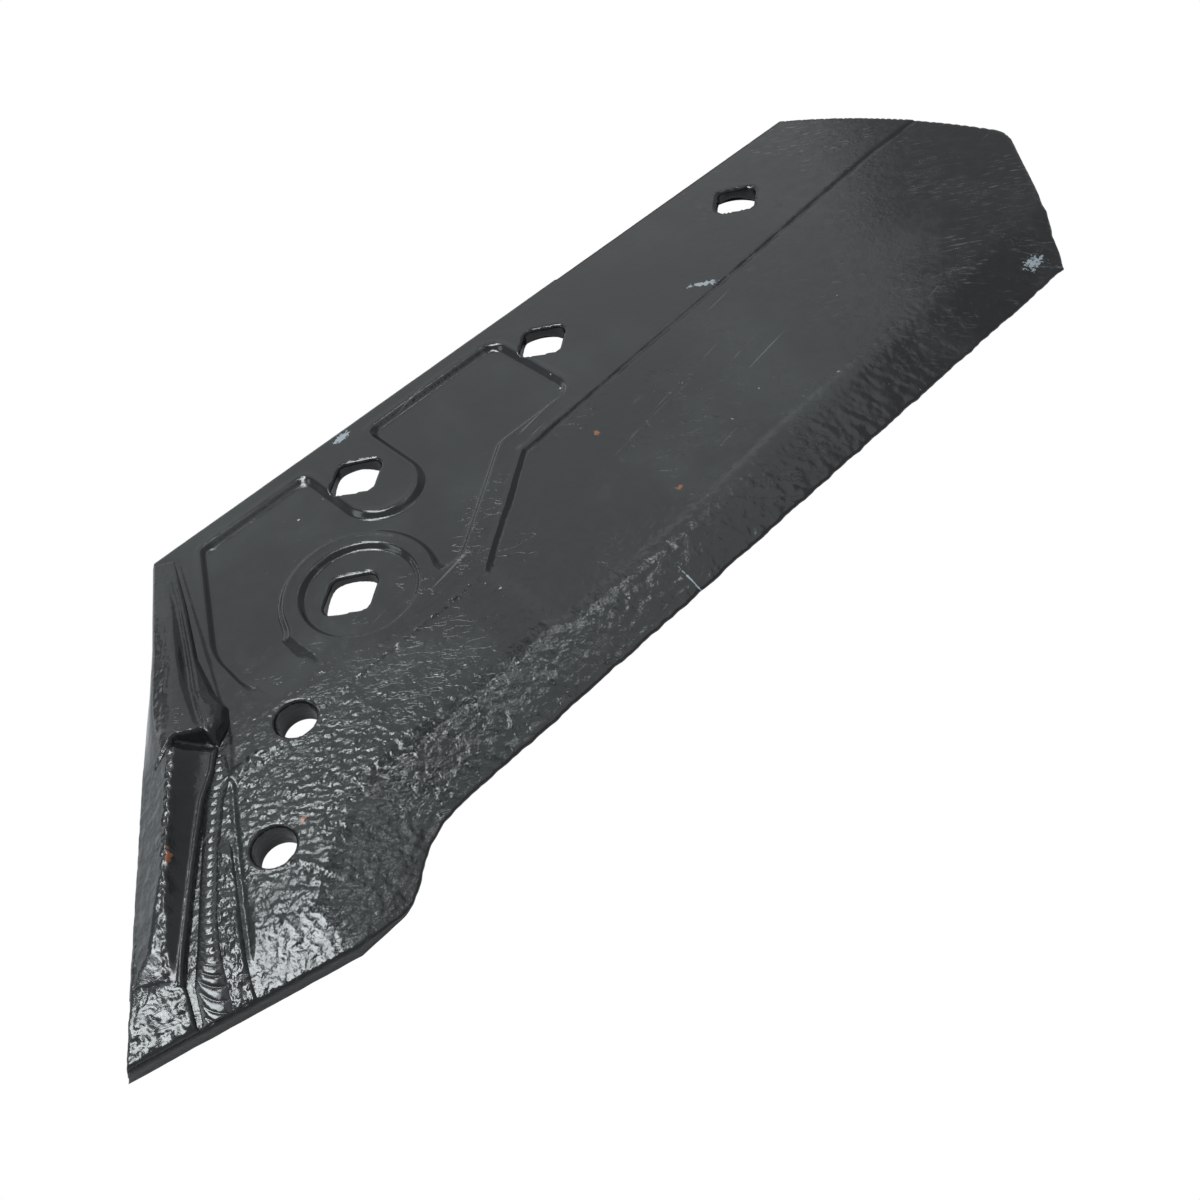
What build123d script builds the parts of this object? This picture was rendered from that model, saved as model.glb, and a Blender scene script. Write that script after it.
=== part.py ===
"""Forged mouldboard-plough share with a welded landside bar, lying on its working face, back up."""

from build123d import *
import os
from math import cos, radians, sin, tan

# ---------------------------------------------------------------- driving dimensions, in mm

# Plate. Plan positions count from the landside end of the top edge of the back: x runs along the
# top edge towards the tail, and y is negative towards the cutting edge.
plate_thickness = 10.0
top_length = 325.0
plate_width = 150.0
tail_overhang = 43.5
tail_corner_drop = 87.0
tail_bulge = 6.0
tail_corner_radius = 12.0
tail_undercut = 12.5

# Beak: the pointed end that reaches below the cutting edge.
landside_length = 176.0
landside_angle = 56.0
landside_corner_x = -3.5
notch_x = 0.0
notch_radius = 30.0
heel_drop = 14.5
heel_start_x = -21.0
heel_radius = 8.0
heel_end_x = -39.0

# Sharpened and leaning edges.
edge_bevel_width = 20.0
edge_thickness = 1.0
beak_bevel_width = 14.0
beak_edge_height = 5.0
landside_lean_width = 4.0
landside_lean_at_corner = 2.5
landside_lean_runout = 40.0

# Frog seat: the raised land on the back that bolts against the plough's frog. The groove carries
# its edge on, between the point's weld and the rest of the back.
seat_step = 1.0
seat_tail_y = -49.5
seat_bend_x = 115.0
seat_bend_y = -63.5
seat_foot_x = 69.0
seat_foot_y = -95.5
groove_start_along = 96.0
groove_start_inset = 30.5
groove_end_inset = 37.0

# Relief pocket in the seat, the pad that it leaves at the first top bolt, and the ring round the
# lower bolt.
pocket_depth = 2.0
pocket_top_y = -8.5
pocket_corner_radius = 7.0
pocket_flank_radius = 8.0
pocket_bottom_y = -83.5
pocket_left_top_x = 14.0
pocket_left_x = -11.0
pocket_left_bend_y = -50.0
pocket_right_x = 149.0
pocket_right_bottom_y = -53.0
pocket_slant_top_x = 113.0
pad_width = 28.0
pad_length = 40.0
pad_offset = 3.2
pad_corner_radius = 4.0
ring_radius = 25.5

# Diamond bolt holes, with their long diagonal along the top edge. The square necks of the bolts
# can't turn in them, and the bolts' heads sink into the working face.
diamond_length = 25.6
diamond_width = 19.0
diamond_corner_radius = 2.2
top_bolt_x = (69.3, 160.0, 270.0)
top_bolt_y = -24.6
lower_bolt_x = 35.2
lower_bolt_y = -65.2
head_diameter = 28.0
head_angle = 90.0
head_cone_top = 14.0
spot_face_radius = 20.0
spot_face_depth = 2.0
spot_face_offset_x = 2.5
spot_face_offset_y = -2.3

# Round holes for the point bolts, each placed along and in from the landside edge.
point_bolt_diameter = 13.0
point_bolt_places = ((79.5, 49.5), (122.0, 42.0))

# Landside bar: stands on the back along the landside edge and takes the wear on that side.
bed_depth = 0.5
bed_margin = 1.0
bar_height = 8.0
bar_crest_inset = 5.5
bar_crest_height = 4.0
bar_ridge_inset = 13.0
bar_ridge_width = 2.5
bar_foot_inset = 25.0
bar_start_along = 2.0
bar_start_height = 0.6
bar_start_foot_inset = 10.0
bar_shoulder_along = 81.0
bar_shoulder_drop = 2.0
bar_shoulder_slope = 4.0
bar_shoulder_foot_inset = 29.0
bar_end_along = 154.0
bar_end_height = 2.0
bar_end_outer_inset = 11.0
bar_end_inset = 14.5
bar_end_top_width = 1.0
bar_end_foot_inset = 18.0

# Weld runs beside the bar, and the hard facing on the tip.
bead_width = 7.0
bead_height = 2.2
bead_start_along = 86.0
bead_start_inset = 26.0
bead_end_inset = 24.8
second_bead_width = 6.5
second_bead_height = 1.6
second_bead_start_along = 115.0
second_bead_start_inset = 29.0
second_bead_end_inset = 32.6
weld_edge_gap = 1.0
facing_start_along = 138.0
facing_inset = 20.0
facing_thickness = 1.4

# ---------------------------------------------------------------- worked-out positions

landside_way = Vector(-cos(radians(landside_angle)), -sin(radians(landside_angle)), 0)
landside_inward = Vector(-landside_way.Y, landside_way.X, 0)
landside_corner = Vector(landside_corner_x, 0)
tip = landside_corner + landside_way * landside_length
heel_y = -(plate_width + heel_drop)
top_corner = Vector(top_length, 0)
tail_corner = Vector(top_length + tail_overhang, -tail_corner_drop)
edge_end = Vector(top_length - tail_undercut, -plate_width)
notch = Vector(notch_x, -plate_width)
heel_start = Vector(heel_start_x, heel_y)
heel_end = Vector(heel_end_x, heel_y)
beyond = 100.0


def plan_point(along, inset):
    """Plan position of a point given along and in from the landside edge."""
    return landside_corner + landside_way * along + landside_inward * inset


def beak_edge_along(inset):
    """How far along the landside edge the beak's lower edge lies, at an inset."""
    heel_along = (heel_end - landside_corner).dot(landside_way)
    heel_inset = (heel_end - landside_corner).dot(landside_inward)
    return landside_length + (heel_along - landside_length) * inset / heel_inset


# Plan outline of the plate.
with BuildSketch() as outline:
    with BuildLine():
        tail_middle = (top_corner + tail_corner) / 2
        tail_outward = Vector(tail_corner_drop, tail_overhang).normalized()
        Line(landside_corner, top_corner)
        ThreePointArc(top_corner, tail_middle + tail_outward * tail_bulge, tail_corner)
        Polyline(tail_corner, edge_end, notch, heel_start, heel_end, tip, landside_corner)
    make_face()
    for corner, radius in (
        (tail_corner, tail_corner_radius),
        (notch, notch_radius),
        (heel_start, heel_radius),
    ):
        fillet(outline.vertices().sort_by_distance(corner)[0], radius)

# The origin is the middle of the outline's box, on the working face.
middle = outline.sketch.bounding_box().center()
working_face = Plane(origin=(-middle.X, -middle.Y, 0))
back_face = working_face.offset(plate_thickness)

# The landside plane's x runs down the landside edge from the corner to the tip; its y is inboard.
landside = Plane(
    origin=working_face.from_local_coords(landside_corner), x_dir=landside_way, z_dir=(0, 0, 1)
)


# ---------------------------------------------------------------- sloped edges


def sloped_cut(top_plane, top_points, bottom_plane, bottom_points):
    """Solid with flat slopes between two outlines that have as many points each."""
    with BuildPart() as tool:
        with BuildSketch(top_plane):
            Polygon(*top_points, align=None)
        with BuildSketch(bottom_plane):
            Polygon(*bottom_points, align=None)
        loft(ruled=True)
    return tool.part


def cutting_bevel():
    """What the sharpened slope takes off along the cutting edge and round the notch."""
    slope = edge_bevel_width / (plate_thickness - seat_step - edge_thickness)
    width = slope * (plate_thickness - edge_thickness)
    heel_way = (heel_start - notch).normalized()
    heel_inward = Vector(heel_way.Y, -heel_way.X)
    edge_inward = Vector(0, 1)
    notch_inward = (edge_inward + heel_inward) / (1 + edge_inward.dot(heel_inward))
    past_tail = Vector(tail_corner.X + beyond, -plate_width)
    past_heel = notch + heel_way * beyond
    outside = Vector(past_tail.X, past_heel.Y)
    bottom = [past_tail, notch, past_heel, outside]
    top = [
        past_tail + edge_inward * width,
        notch + notch_inward * width,
        past_heel + heel_inward * width,
        outside,
    ]
    return sloped_cut(back_face, top, working_face.offset(edge_thickness), bottom)


def beak_bevel(lift):
    """What the slope along the beak's lower edge takes off, with the slope lifted straight up."""
    way = (tip - heel_end).normalized()
    inward = Vector(way.Y, -way.X)
    first = heel_end - way * beyond
    last = tip + way * beyond
    outside = [last - inward * beyond, first - inward * beyond]
    bottom = [first, last, *outside]
    top = [first + inward * beak_bevel_width, last + inward * beak_bevel_width, *outside]
    foot = working_face.offset(beak_edge_height + lift)
    return sloped_cut(back_face.offset(lift), top, foot, bottom)


def landside_lean(height):
    """What the leaning landside face takes off from the working face up to a height."""
    share = height / plate_thickness
    corner_width = landside_lean_at_corner * share
    width = landside_lean_width * share
    far = landside_length + beyond
    outside = [(far, -beyond), (-beyond, -beyond)]
    bottom = [(-beyond, 0), (0, 0), (landside_lean_runout, 0), (far, 0), *outside]
    top = [
        (-beyond, corner_width),
        (0, corner_width),
        (landside_lean_runout, width),
        (far, width),
        *outside,
    ]
    return sloped_cut(landside.offset(height), top, landside, bottom)


# ---------------------------------------------------------------- share blade

with BuildPart() as share_blade:
    with BuildSketch(working_face):
        add(outline.sketch)
    extrude(amount=plate_thickness)

    # The back is a step lower on the far side of the seat line and of the groove.
    with BuildSketch(back_face):
        groove_start = plan_point(groove_start_along, groove_start_inset)
        groove_end = plan_point(beak_edge_along(groove_end_inset), groove_end_inset)
        groove_outside = groove_end + (groove_end - groove_start)
        Polygon(
            (tail_corner.X + beyond, seat_tail_y),
            (top_corner.X, seat_tail_y),
            (seat_bend_x, seat_bend_y),
            (seat_foot_x, seat_foot_y),
            groove_start,
            groove_outside,
            (tail_corner.X + beyond, groove_outside.Y),
            align=None,
        )
    extrude(amount=-seat_step, mode=Mode.SUBTRACT)

    # Shallow bed along the landside, which the bar and its welds stand in.
    with BuildSketch(landside.offset(plate_thickness)):
        Polygon(
            (-bed_margin, -beyond),
            (-bed_margin, bar_start_foot_inset + bed_margin),
            (bar_shoulder_along, bar_shoulder_foot_inset + bed_margin),
            (groove_start_along, groove_start_inset),
            (beak_edge_along(groove_end_inset), groove_end_inset),
            (landside_length + beyond, groove_end_inset),
            (landside_length + beyond, -beyond),
            align=None,
        )
    extrude(amount=-bed_depth, mode=Mode.SUBTRACT)

    # Relief pocket: two lobes that join between the pad at the first top bolt and the ring.
    spot_face_place = (lower_bolt_x + spot_face_offset_x, lower_bolt_y + spot_face_offset_y)
    with BuildSketch(back_face) as pocket:
        Polygon(
            (pocket_left_top_x, pocket_top_y),
            (pocket_right_x, pocket_top_y),
            (pocket_right_x, pocket_right_bottom_y),
            (pocket_slant_top_x, pocket_right_bottom_y),
            (seat_foot_x, pocket_bottom_y),
            (pocket_left_x, pocket_bottom_y),
            (pocket_left_x, pocket_left_bend_y),
            align=None,
        )
        fillet(pocket.vertices(), pocket_corner_radius)
        pad_x = top_bolt_x[0] + pad_offset
        with Locations((pad_x, pocket_top_y)):
            SlotOverall(2 * pad_length, pad_width, rotation=90, mode=Mode.SUBTRACT)
        for side in (-1, 1):
            pad_corner = (pad_x + side * pad_width / 2, pocket_top_y)
            fillet(pocket.vertices().sort_by_distance(pad_corner)[0], pad_corner_radius)
        with Locations(spot_face_place):
            Circle(ring_radius, mode=Mode.SUBTRACT)
        # The ring's landside flank runs on down, so the pocket doesn't reach round below it.
        flank = Vector(spot_face_place[0] - ring_radius, pocket_bottom_y)
        with Locations(flank):
            Rectangle(
                ring_radius,
                spot_face_place[1] - pocket_bottom_y,
                align=(Align.MIN, Align.MIN),
                mode=Mode.SUBTRACT,
            )
        fillet(pocket.vertices().sort_by_distance(flank)[0], pocket_flank_radius)
    extrude(amount=-pocket_depth, mode=Mode.SUBTRACT)

    # Spot face inside the ring.
    with BuildSketch(back_face):
        with Locations(spot_face_place):
            Circle(spot_face_radius)
    extrude(amount=-spot_face_depth, mode=Mode.SUBTRACT)

    # Diamond bolt holes, and the cones that their bolts' heads sink into.
    with BuildSketch() as diamond:
        Polygon(
            (diamond_length / 2, 0),
            (0, diamond_width / 2),
            (-diamond_length / 2, 0),
            (0, -diamond_width / 2),
            align=None,
        )
        fillet(diamond.vertices(), diamond_corner_radius)
    diamond_places = [(x, top_bolt_y) for x in top_bolt_x] + [(lower_bolt_x, lower_bolt_y)]
    with BuildSketch(working_face):
        with Locations(*diamond_places):
            add(diamond.sketch)
    extrude(amount=plate_thickness, mode=Mode.SUBTRACT)
    with BuildSketch(working_face):
        with Locations(*diamond_places):
            Circle(head_diameter / 2)
    head_depth = (head_diameter - head_cone_top) / 2 / tan(radians(head_angle / 2))
    extrude(amount=head_depth, taper=head_angle / 2, mode=Mode.SUBTRACT)

    # Round point-bolt holes.
    with BuildSketch(landside):
        with Locations(*point_bolt_places):
            Circle(point_bolt_diameter / 2)
    extrude(amount=plate_thickness, mode=Mode.SUBTRACT)

    add(cutting_bevel(), mode=Mode.SUBTRACT)
    add(beak_bevel(lift=0), mode=Mode.SUBTRACT)
    add(landside_lean(plate_thickness), mode=Mode.SUBTRACT)


# ---------------------------------------------------------------- landside bar


def bar_section(along, points):
    """Cross-section of the bar, square to the landside edge, from points of inset and height."""
    start = landside.from_local_coords(Vector(along, 0, plate_thickness))
    with BuildSketch(Plane(origin=start, x_dir=landside_inward, z_dir=landside_way)) as section:
        Polygon(*points, align=None)
    return section.sketch


def lean_at(along):
    """How far in from the landside edge the plate's back begins."""
    share = min(1, along / landside_lean_runout)
    return landside_lean_at_corner + (landside_lean_width - landside_lean_at_corner) * share


def head_section(along):
    """Section of the bar's solid upper part, which swells from the corner to a blunt shoulder."""
    growth = along / bar_shoulder_along
    height = bar_start_height + (bar_height - bar_start_height) * growth
    crest = lean_at(along) + (bar_crest_inset - landside_lean_width) * growth
    ridge = crest + (bar_ridge_inset - bar_crest_inset) * growth
    foot = bar_start_foot_inset + (bar_shoulder_foot_inset - bar_start_foot_inset) * growth
    return bar_section(
        along,
        [
            (lean_at(along), -bed_depth),
            (crest, height * bar_crest_height / bar_height),
            (ridge, height),
            (foot - bar_shoulder_slope * growth, height - bar_shoulder_drop * growth),
            (foot, -bed_depth),
        ],
    )


with BuildPart() as landside_bar:
    loft(
        [
            head_section(bar_start_along),
            head_section(landside_lean_runout),
            head_section(bar_shoulder_along),
        ],
        ruled=True,
    )
    # Below the shoulder the bar is a narrow ridge with a steep inner face, down to the tip's facing.
    ridge_start = bar_section(
        bar_shoulder_along,
        [
            (landside_lean_width, -bed_depth),
            (bar_ridge_inset, bar_height),
            (bar_ridge_inset + bar_ridge_width, bar_height),
            (bar_foot_inset, -bed_depth),
        ],
    )
    ridge_end = bar_section(
        bar_end_along,
        [
            (bar_end_outer_inset, -bed_depth),
            (bar_end_inset, bar_end_height),
            (bar_end_inset + bar_end_top_width, bar_end_height),
            (bar_end_foot_inset, -bed_depth),
        ],
    )
    loft([ridge_start, ridge_end], ruled=True)
    add(share_blade.part, mode=Mode.SUBTRACT)


# ---------------------------------------------------------------- weld runs


def weld_run(start_along, start_inset, end_inset, width, height):
    """Rounded weld run beside the bar, level on the bed and then down the beak's slope."""
    level = plate_thickness - bed_depth
    heel_way = (tip - heel_end).normalized()
    drop = level - beak_edge_height
    slope_width = beak_bevel_width * drop / (plate_thickness - beak_edge_height)
    slope_run = slope_width / abs(heel_way.dot(landside_inward))
    end_along = beak_edge_along(end_inset) - weld_edge_gap
    end_height = beak_edge_height + drop * weld_edge_gap / slope_run
    bend_along = beak_edge_along(end_inset) - slope_run
    share = (bend_along - start_along) / (end_along - start_along)
    bend_inset = start_inset + (end_inset - start_inset) * share
    start = landside.from_local_coords(Vector(start_along, start_inset, level))
    bend = landside.from_local_coords(Vector(bend_along, bend_inset, level))
    end = landside.from_local_coords(Vector(end_along, end_inset, end_height))
    with BuildPart() as run:
        with BuildLine():
            Polyline(start, bend, end)
        with BuildSketch(Plane(origin=start, x_dir=landside_inward, z_dir=bend - start)):
            Ellipse(width / 2, height)
        sweep(transition=Transition.RIGHT)
    return run.part


bar_run = weld_run(bead_start_along, bead_start_inset, bead_end_inset, bead_width, bead_height)
point_run = weld_run(
    second_bead_start_along,
    second_bead_start_inset,
    second_bead_end_inset,
    second_bead_width,
    second_bead_height,
)

with BuildPart() as bar_weld:
    add(bar_run)
    add(share_blade.part, mode=Mode.SUBTRACT)
    add(landside_bar.part, mode=Mode.SUBTRACT)

with BuildPart() as point_weld:
    add(point_run)
    add(bar_run, mode=Mode.SUBTRACT)
    add(share_blade.part, mode=Mode.SUBTRACT)


# ---------------------------------------------------------------- hard facing on the tip

with BuildPart() as tip_hardfacing:
    with BuildSketch(landside.offset(beak_edge_height)):
        Polygon(
            (facing_start_along, 0),
            (facing_start_along, landside_lean_width),
            (bar_end_along, bar_end_inset),
            (bar_end_along, bar_end_foot_inset),
            (beak_edge_along(facing_inset), facing_inset),
            (landside_length, 0),
            align=None,
        )
    extrude(amount=plate_thickness + facing_thickness - beak_edge_height)
    add(beak_bevel(lift=facing_thickness), mode=Mode.SUBTRACT)
    add(landside_lean(plate_thickness + facing_thickness), mode=Mode.SUBTRACT)
    add(share_blade.part, mode=Mode.SUBTRACT)
    add(landside_bar.part, mode=Mode.SUBTRACT)


# ---------------------------------------------------------------- labels and files

os.makedirs("parts", exist_ok=True)

share_blade.part.label = "share_blade"
export_step(share_blade.part, "parts/share_blade.step")

landside_bar.part.label = "landside_bar"
export_step(landside_bar.part, "parts/landside_bar.step")

bar_weld.part.label = "bar_weld"
export_step(bar_weld.part, "parts/bar_weld.step")

point_weld.part.label = "point_weld"
export_step(point_weld.part, "parts/point_weld.step")

tip_hardfacing.part.label = "tip_hardfacing"
export_step(tip_hardfacing.part, "parts/tip_hardfacing.step")
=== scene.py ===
"""Looks of the plough share: forged blade, landside bar, weld runs and tip facing in glossy black."""

from math import cos, hypot, pi, radians, sin, tan

import bmesh
import bpy
import numpy as np
from mathutils import Matrix, Vector
from mathutils.geometry import delaunay_2d_cdt


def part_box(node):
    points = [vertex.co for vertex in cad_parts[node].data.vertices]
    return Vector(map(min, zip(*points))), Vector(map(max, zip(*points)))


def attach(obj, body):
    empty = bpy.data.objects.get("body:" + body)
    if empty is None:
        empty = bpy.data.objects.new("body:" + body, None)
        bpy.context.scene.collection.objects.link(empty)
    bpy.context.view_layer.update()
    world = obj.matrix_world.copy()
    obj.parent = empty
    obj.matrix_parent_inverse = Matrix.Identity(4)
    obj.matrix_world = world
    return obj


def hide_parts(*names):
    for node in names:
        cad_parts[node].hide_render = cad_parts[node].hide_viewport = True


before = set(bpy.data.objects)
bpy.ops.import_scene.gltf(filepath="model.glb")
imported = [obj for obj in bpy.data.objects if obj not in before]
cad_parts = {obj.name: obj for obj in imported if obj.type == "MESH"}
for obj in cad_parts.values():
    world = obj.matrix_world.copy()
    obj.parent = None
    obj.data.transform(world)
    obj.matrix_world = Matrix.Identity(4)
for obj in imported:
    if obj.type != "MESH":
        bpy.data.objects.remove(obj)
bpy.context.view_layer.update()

# ---------------------------------------------------------------- sizes, in mm

# Most are the CAD model's sizes. The corners of the diamond holes are worn rounder here, and the
# pocket's left wall and the groove follow the forged surface more closely.
# Plan positions count from the landside end of the top edge: x runs along the top edge towards the
# tail, and y is negative towards the cutting edge. Heights count from the working face.
plate_thickness = 10.0
plate_width = 150.0
top_length = 325.0
tail_corner = (368.5, -87.0)
tail_bulge = 6.0
tail_corner_radius = 12.0
edge_end = (312.5, -plate_width)
notch = (0.0, -plate_width)
notch_radius = 30.0
heel_start = (-21.0, -164.5)
heel_radius = 8.0
heel_end = (-39.0, -164.5)
landside_corner = (-3.5, 0.0)
landside_angle = radians(56.0)
landside_length = 176.0

edge_thickness = 1.0
edge_slope = 8.0 / 20.0
beak_edge_height = 5.0
beak_slope = 5.0 / 14.0
bar_height = 8.0
lean_width = 4.0
lean_at_corner = 2.5
lean_runout = 40.0

seat_line = ((470.0, -49.5), (325.0, -49.5), (115.0, -63.5), (69.0, -95.5))
pocket_depth = 2.0
pocket_left_wall = ((-11.0, -83.5), (-10.0, -52.0), (13.5, -8.5))
pocket_right_corners = ((149.0, -8.5), (149.0, -53.0), (113.0, -53.0), (69.0, -83.5))
pad_middle_x = 72.5
pad_radius = 14.0
pad_end_y = -34.5
ring_middle = (37.7, -67.5)
ring_radius = 25.5
spot_face_radius = 20.0

diamond_length = 25.6
diamond_width = 19.0
diamond_corner_radius = 3.4
diamond_places = ((69.3, -24.6), (160.0, -24.6), (270.0, -24.6), (35.2, -65.2))
head_radius = 14.0
point_bolt_radius = 6.5
point_bolt_places = ((79.5, 49.5), (122.0, 42.0))

# How far the bar, the weld runs and the facing reach down into the blade's back.
root_depth = 0.6

mm = 0.001
way = (-cos(landside_angle), -sin(landside_angle))
inward = (sin(landside_angle), -cos(landside_angle))


def on_plan(along, inset):
    """Plan position of a place given along and in from the landside edge."""
    return (
        landside_corner[0] + way[0] * along + inward[0] * inset,
        landside_corner[1] + way[1] * along + inward[1] * inset,
    )


def on_landside(x, y):
    """How far along and in from the landside edge a plan position lies."""
    dx = x - landside_corner[0]
    dy = y - landside_corner[1]
    return dx * way[0] + dy * way[1], dx * inward[0] + dy * inward[1]


tip = on_plan(landside_length, 0.0)
blade_low, blade_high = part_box("share_blade")
plan_origin = (blade_low.x / mm - tip[0], blade_high.y / mm)


# ---------------------------------------------------------------- smooth noise and blends


noise_gain = 1.6


def lattice_value(column, row, seed):
    """Repeatable value from 0 to 1 for each point of a square lattice."""
    code = (column * 374761393 + row * 668265263 + seed * 974634777) & 0xFFFFFFFF
    code = ((code ^ (code >> 13)) * 1274126177) & 0xFFFFFFFF
    return ((code ^ (code >> 16)) & 0xFFFFFFFF) / 0xFFFFFFFF


def fade(share):
    """Blend from 0 to 1 that starts and ends without a kink."""
    return share**3 * (share * (share * 6 - 15) + 10)


def noise(x, y, size, seed):
    """Smooth lumps between about -1 and 1, size mm apart. Each seed gives another pattern."""
    u = np.asarray(x) / size
    v = np.asarray(y) / size
    column = np.floor(u).astype(np.int64)
    row = np.floor(v).astype(np.int64)
    total = 0.0
    for right in (0, 1):
        for up in (0, 1):
            angle = 2 * pi * lattice_value(column + right, row + up, seed)
            du = u - column - right
            dv = v - row - up
            pull = np.cos(angle) * du + np.sin(angle) * dv
            total = total + fade(1 - abs(du)) * fade(1 - abs(dv)) * pull
    return total * noise_gain


def rough(x, y, size, seed, layers=3):
    """Noise with finer, weaker layers on top."""
    return sum(noise(x, y, size / 2**layer, seed + layer) / 2**layer for layer in range(layers))


def step(low, high, value):
    """Smooth change from 0 at low to 1 at high."""
    share = np.clip((value - low) / (high - low), 0, 1)
    return share * share * (3 - 2 * share)


def smooth_min(a, b, width):
    """The lower of two heights, blended where they differ by less than width."""
    share = np.clip(0.5 + 0.5 * (b - a) / width, 0, 1)
    return b + (a - b) * share - width * share * (1 - share)


def smooth_max(a, b, width):
    """The higher of two heights, blended in the same way."""
    return -smooth_min(-a, -b, width)


def bump(distance, width):
    """Round hump, 1 high at no distance."""
    return np.exp(-((distance / width) ** 2))


# ---------------------------------------------------------------- plan outlines

far_away = 1e9
shortest_run = 1e-6


def arc_through(start, end, rise, count=16):
    """Points of a shallow arc from start to end that stands off its chord by rise, on the left."""
    chord = Vector(end) - Vector(start)
    left = Vector((-chord.y, chord.x)).normalized()
    points = []
    for i in range(1, count):
        share = i / count
        points.append(tuple(Vector(start) + chord * share + left * rise * 4 * share * (1 - share)))
    return points


def rounded(points, radii, arc_spacing=1.2):
    """Closed outline with the corners that have a radius turned into arcs."""
    loop = []
    for i, corner in enumerate(points):
        radius = radii.get(i, 0)
        if radius == 0:
            loop.append(tuple(corner))
            continue
        here = Vector(corner)
        back = (Vector(points[i - 1]) - here).normalized()
        ahead = (Vector(points[(i + 1) % len(points)]) - here).normalized()
        half = back.angle(ahead) / 2
        middle = here + (back + ahead).normalized() * radius / sin(half)
        first = here + back * radius / tan(half) - middle
        turn = first.angle_signed(here + ahead * radius / tan(half) - middle)
        count = max(4, int(radius * abs(turn) / arc_spacing))
        for j in range(count + 1):
            arm = first.copy()
            arm.rotate(Matrix.Rotation(-turn * j / count, 2))
            loop.append(tuple(middle + arm))
    return loop


def plate_outline():
    """The blade seen from above, clockwise from the landside corner."""
    top_corner = (top_length, 0.0)
    arc = arc_through(top_corner, tail_corner, tail_bulge)
    points = [landside_corner, top_corner, *arc, tail_corner, edge_end, notch, heel_start, heel_end, tip]
    first = 2 + len(arc)
    return rounded(points, {first: tail_corner_radius, first + 2: notch_radius, first + 3: heel_radius})


def pocket_outline():
    """The relief pocket before the pad and the ring are left standing in it."""
    corners = (pocket_left_wall[2], *pocket_right_corners, *pocket_left_wall[:2])
    return rounded(corners, {0: 3.0, 1: 7.0, 2: 7.0, 3: 7.0, 4: 7.0, 5: 8.0, 6: 25.0})


def subdivided(loop, spacing):
    """Closed loop with extra points along its longer sides."""
    dense = []
    for start, end in zip(loop, loop[1:] + loop[:1]):
        run_x = end[0] - start[0]
        run_y = end[1] - start[1]
        count = max(1, round(hypot(run_x, run_y) / spacing))
        for i in range(count):
            dense.append((start[0] + run_x * i / count, start[1] + run_y * i / count))
    return dense


def distance_to(x, y, chain):
    """Distance from each place to a chain of straight runs, and the left-hand side of the nearest run."""
    best = np.full(np.shape(x), far_away)
    side_x = np.zeros(np.shape(x))
    side_y = np.zeros(np.shape(x))
    for (ax, ay), (bx, by) in zip(chain, chain[1:]):
        dx, dy = bx - ax, by - ay
        length = hypot(dx, dy)
        if length < shortest_run:
            continue
        share = np.clip(((x - ax) * dx + (y - ay) * dy) / length**2, 0, 1)
        distance = np.hypot(x - ax - share * dx, y - ay - share * dy)
        nearer = distance < best
        best = np.where(nearer, distance, best)
        side_x = np.where(nearer, -dy / length, side_x)
        side_y = np.where(nearer, dx / length, side_y)
    return best, side_x, side_y


def inside(x, y, loop):
    """Whether each place lies inside a closed loop."""
    hit = np.zeros(np.shape(x), bool)
    for (ax, ay), (bx, by) in zip(loop, loop[1:] + loop[:1]):
        if ay != by:
            hit ^= ((ay > y) != (by > y)) & (x < (bx - ax) * (y - ay) / (by - ay) + ax)
    return hit


def depth_in(x, y, loop):
    """Distance inside a closed loop, negative outside it."""
    distance = distance_to(x, y, loop + loop[:1])[0]
    return np.where(inside(x, y, loop), distance, -distance)


outline = plate_outline()
pocket = pocket_outline()

# ---------------------------------------------------------------- bolt holes


def diamond_polar():
    """Angles and radii round the diamond hole's outline."""
    half_length = diamond_length / 2
    half_width = diamond_width / 2
    corners = ((half_length, 0), (0, half_width), (-half_length, 0), (0, -half_width))
    loop = np.array(subdivided(rounded(corners, dict.fromkeys(range(4), diamond_corner_radius)), 0.3))
    angles = np.arctan2(loop[:, 1], loop[:, 0])
    order = np.argsort(angles)
    return angles[order], np.hypot(loop[:, 0], loop[:, 1])[order]


diamond_angles, diamond_radii = diamond_polar()


def diamond_hole_radius(angle, height):
    """Radius of a diamond hole with its cone for the bolt's head, at a height above the working face."""
    side = np.interp(angle, diamond_angles, diamond_radii, period=2 * pi)
    return np.maximum(side, (head_radius - height) * (height < head_radius / 2))


def round_hole_radius(angle, height):
    """Radius of a round hole, the same at every angle and height."""
    return point_bolt_radius + 0 * angle


holes = [(place, diamond_hole_radius) for place in diamond_places]
holes += [(on_plan(*place), round_hole_radius) for place in point_bolt_places]


def hole_loop(hole, height, count=96):
    """Ring of plan points round a hole at a height above the working face."""
    (x, y), radius_at = hole
    angles = np.arange(count) * 2 * pi / count
    radius = radius_at(angles, height)
    return list(zip((x + radius * np.cos(angles)).tolist(), (y + radius * np.sin(angles)).tolist()))


def hole_distance(x, y, height):
    """Distance from the wall of the nearest hole, at a height above the working face."""
    nearest = np.full(np.shape(x), far_away)
    for (cx, cy), radius_at in holes:
        reach = np.hypot(x - cx, y - cy) - radius_at(np.arctan2(y - cy, x - cx), height)
        nearest = np.minimum(nearest, reach)
    return nearest


# ---------------------------------------------------------------- the blade's back


def lean_at(along):
    """How far in from the landside edge the leaning face reaches the back."""
    return lean_at_corner + (lean_width - lean_at_corner) * np.clip(along / lean_runout, 0, 1)


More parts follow.
